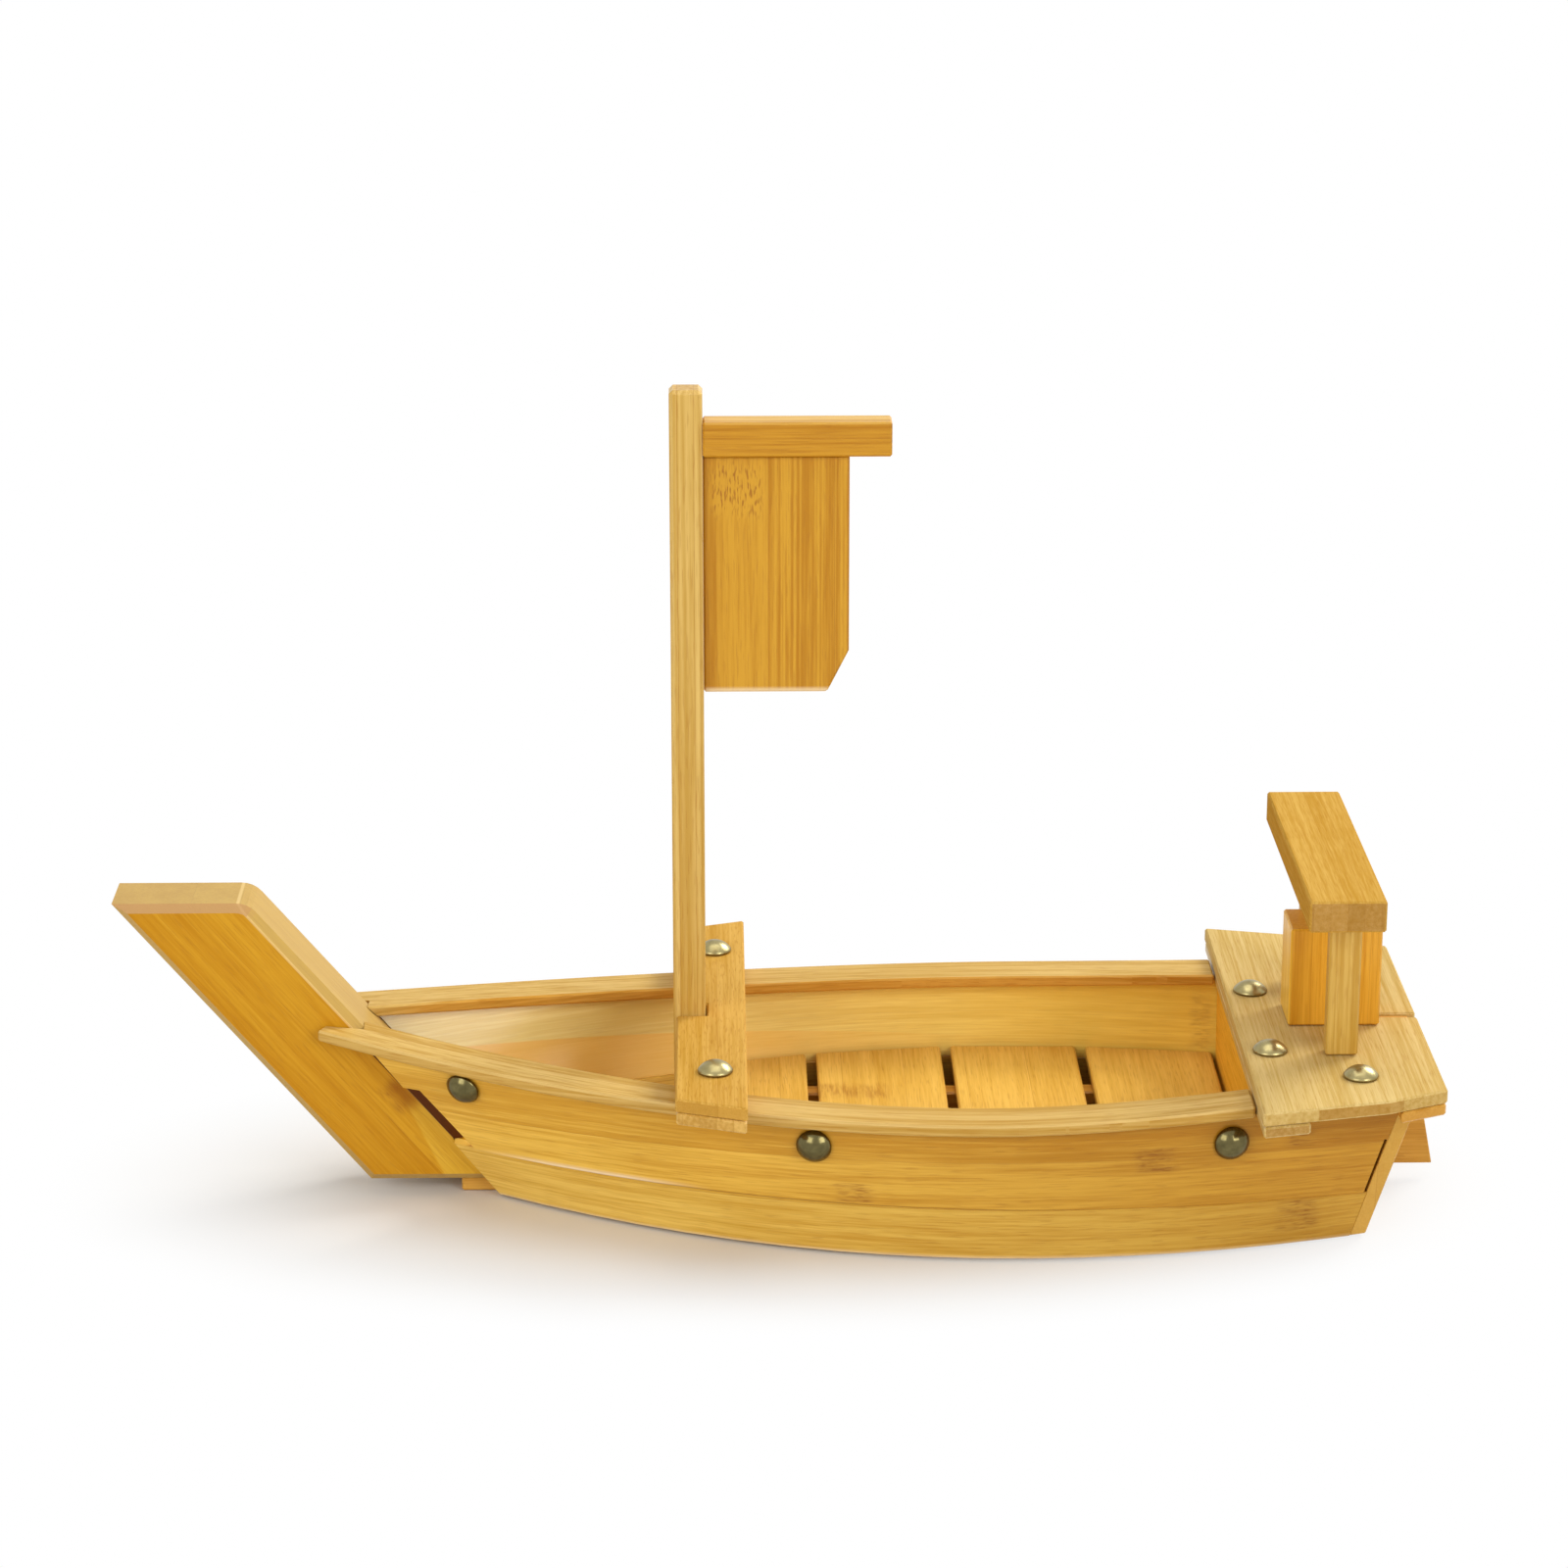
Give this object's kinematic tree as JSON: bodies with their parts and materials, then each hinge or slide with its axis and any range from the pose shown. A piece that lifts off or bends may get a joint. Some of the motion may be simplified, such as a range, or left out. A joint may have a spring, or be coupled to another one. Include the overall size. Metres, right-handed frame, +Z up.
{
  "type": "sushi boat",
  "caption": "Varnished bamboo serving boat for sushi: raked bow post, slatted floor, lift-out mast and sail, stern deck with a small gate, slide-out rudder and domed tacks.",
  "frame": {"origin": "on the table under the middle of the overall box", "axes": "+X from bow to stern, +Y to starboard, +Z up; the bow post points to -X"},
  "size_m": [0.4199, 0.1676, 0.2611],
  "materials": {
    "honey_bamboo": "clear gloss varnish on laminated bamboo",
    "amber_bamboo": "clear gloss varnish on darker laminated bamboo",
    "pale_bamboo": "clear gloss varnish on pale laminated bamboo",
    "tack_bronze": "antique bronze, polished"
  },
  "bodies": {
    "hull": {"bottom_board": "honey_bamboo", "deck_batten_aft_port": "honey_bamboo", "deck_batten_aft_starboard": "honey_bamboo", "deck_batten_front": "honey_bamboo", "deck_side_strip_port": "honey_bamboo", "deck_side_strip_starboard": "honey_bamboo", "deck_tack_aft_port": "tack_bronze", "deck_tack_aft_starboard": "tack_bronze", "deck_tack_front_port": "tack_bronze", "deck_tack_front_starboard": "tack_bronze", "floor_bearer_port": "amber_bamboo", "floor_bearer_starboard": "amber_bamboo", "floor_slat_1": "honey_bamboo", "floor_slat_2": "honey_bamboo", "floor_slat_3": "honey_bamboo", "floor_slat_4": "honey_bamboo", "gate_crossbar": "honey_bamboo", "gate_leg_port": "pale_bamboo", "gate_leg_starboard": "pale_bamboo", "gunwale_rail_port": "pale_bamboo", "gunwale_rail_starboard": "pale_bamboo", "lower_strake_port": "honey_bamboo", "lower_strake_starboard": "honey_bamboo", "mast_step": "amber_bamboo", "mast_thwart": "honey_bamboo", "side_tack_bow_port": "tack_bronze", "side_tack_bow_starboard": "tack_bronze", "side_tack_middle_port": "tack_bronze", "side_tack_middle_starboard": "tack_bronze", "side_tack_stern_port": "tack_bronze", "side_tack_stern_starboard": "tack_bronze", "stem_post": "honey_bamboo", "stern_bulkhead": "amber_bamboo", "stern_deck": "pale_bamboo", "thwart_doubler": "honey_bamboo", "thwart_tack_port": "tack_bronze", "thwart_tack_starboard": "tack_bronze", "transom": "honey_bamboo", "upper_strake_port": "honey_bamboo", "upper_strake_starboard": "honey_bamboo"},
    "mast_rig": {"mast": "pale_bamboo", "yard": "amber_bamboo", "sail": "amber_bamboo"},
    "rudder": {"rudder_blade": "amber_bamboo", "rudder_head": "amber_bamboo"}
  },
  "joints": [
    {"name": "mast_lift", "type": "slide", "parent": "hull", "child": "mast_rig", "axis": [0, 0, 1], "range_m": [0, 0.06]},
    {"name": "rudder_slide", "type": "slide", "parent": "hull", "child": "rudder", "axis": [1, 0, 0], "range_m": [0, 0.05]}
  ]
}
